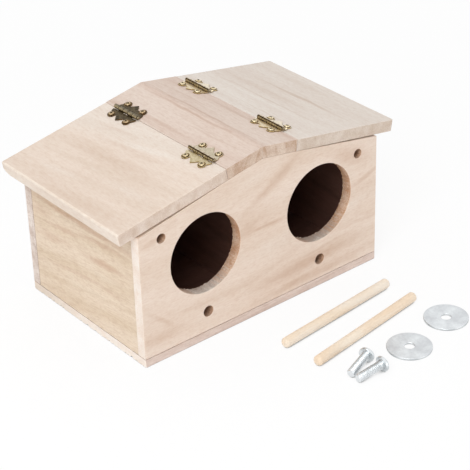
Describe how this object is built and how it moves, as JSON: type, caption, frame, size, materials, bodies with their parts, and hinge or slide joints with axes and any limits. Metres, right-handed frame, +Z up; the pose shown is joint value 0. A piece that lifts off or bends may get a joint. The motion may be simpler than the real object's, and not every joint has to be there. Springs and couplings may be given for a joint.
{
  "type": "nest box",
  "caption": "Wooden nest box for small birds: a divided box with round entrances, a low gable roof with hinged lids, and its loose perches, bolts and washers.",
  "frame": {"origin": "centre of the floor board's underside", "axes": "+X to the right along the front wall, the front wall faces -Y, +Z up"},
  "size_m": [0.2304, 0.2375, 0.1236],
  "materials": {
    "front_board": "planed bare paulownia, horizontal grain",
    "back_board": "planed bare paulownia, horizontal grain",
    "end_board": "planed bare paulownia, horizontal grain, yellower",
    "floor_board": "planed bare paulownia",
    "lid_board": "planed bare paulownia, grain along the ridge",
    "ridge_board": "planed bare paulownia, grain along the ridge, pinker",
    "dowel": "sanded bare dowel",
    "antique_brass": "antique brass plating, darker in the hollows",
    "bright_zinc": "bright zinc plated steel"
  },
  "bodies": {
    "box": {"floor_board": "floor_board", "front_wall": "front_board", "back_wall": "back_board", "left_end_wall": "end_board", "right_end_wall": "end_board", "divider": "end_board", "ridge_left_board": "ridge_board", "ridge_right_board": "ridge_board", "hinge_left_front_ridge_leaf": "antique_brass", "hinge_left_front_pin": "antique_brass", "hinge_left_front_ridge_screw_1": "antique_brass", "hinge_left_front_ridge_screw_2": "antique_brass", "hinge_left_back_ridge_leaf": "antique_brass", "hinge_left_back_pin": "antique_brass", "hinge_left_back_ridge_screw_1": "antique_brass", "hinge_left_back_ridge_screw_2": "antique_brass", "hinge_right_front_ridge_leaf": "antique_brass", "hinge_right_front_pin": "antique_brass", "hinge_right_front_ridge_screw_1": "antique_brass", "hinge_right_front_ridge_screw_2": "antique_brass", "hinge_right_back_ridge_leaf": "antique_brass", "hinge_right_back_pin": "antique_brass", "hinge_right_back_ridge_screw_1": "antique_brass", "hinge_right_back_ridge_screw_2": "antique_brass", "perch_1": "dowel", "perch_2": "dowel", "bolt_1": "bright_zinc", "bolt_2": "bright_zinc", "washer_1": "bright_zinc", "washer_2": "bright_zinc"},
    "lid_left": {"left_lid": "lid_board", "hinge_left_front_lid_leaf": "antique_brass", "hinge_left_front_lid_screw_1": "antique_brass", "hinge_left_front_lid_screw_2": "antique_brass", "hinge_left_back_lid_leaf": "antique_brass", "hinge_left_back_lid_screw_1": "antique_brass", "hinge_left_back_lid_screw_2": "antique_brass"},
    "lid_right": {"right_lid": "lid_board", "hinge_right_front_lid_leaf": "antique_brass", "hinge_right_front_lid_screw_1": "antique_brass", "hinge_right_front_lid_screw_2": "antique_brass", "hinge_right_back_lid_leaf": "antique_brass", "hinge_right_back_lid_screw_1": "antique_brass", "hinge_right_back_lid_screw_2": "antique_brass"}
  },
  "joints": [
    {"name": "left_lid_hinge", "type": "hinge", "parent": "box", "child": "lid_left", "pos_m": [-0.03014, 0.0009, 0.12019], "axis": [0, 1, 0], "range_deg": [0, 115]},
    {"name": "right_lid_hinge", "type": "hinge", "parent": "box", "child": "lid_right", "pos_m": [0.03014, 0.0009, 0.12019], "axis": [0, -1, 0], "range_deg": [0, 115]}
  ]
}
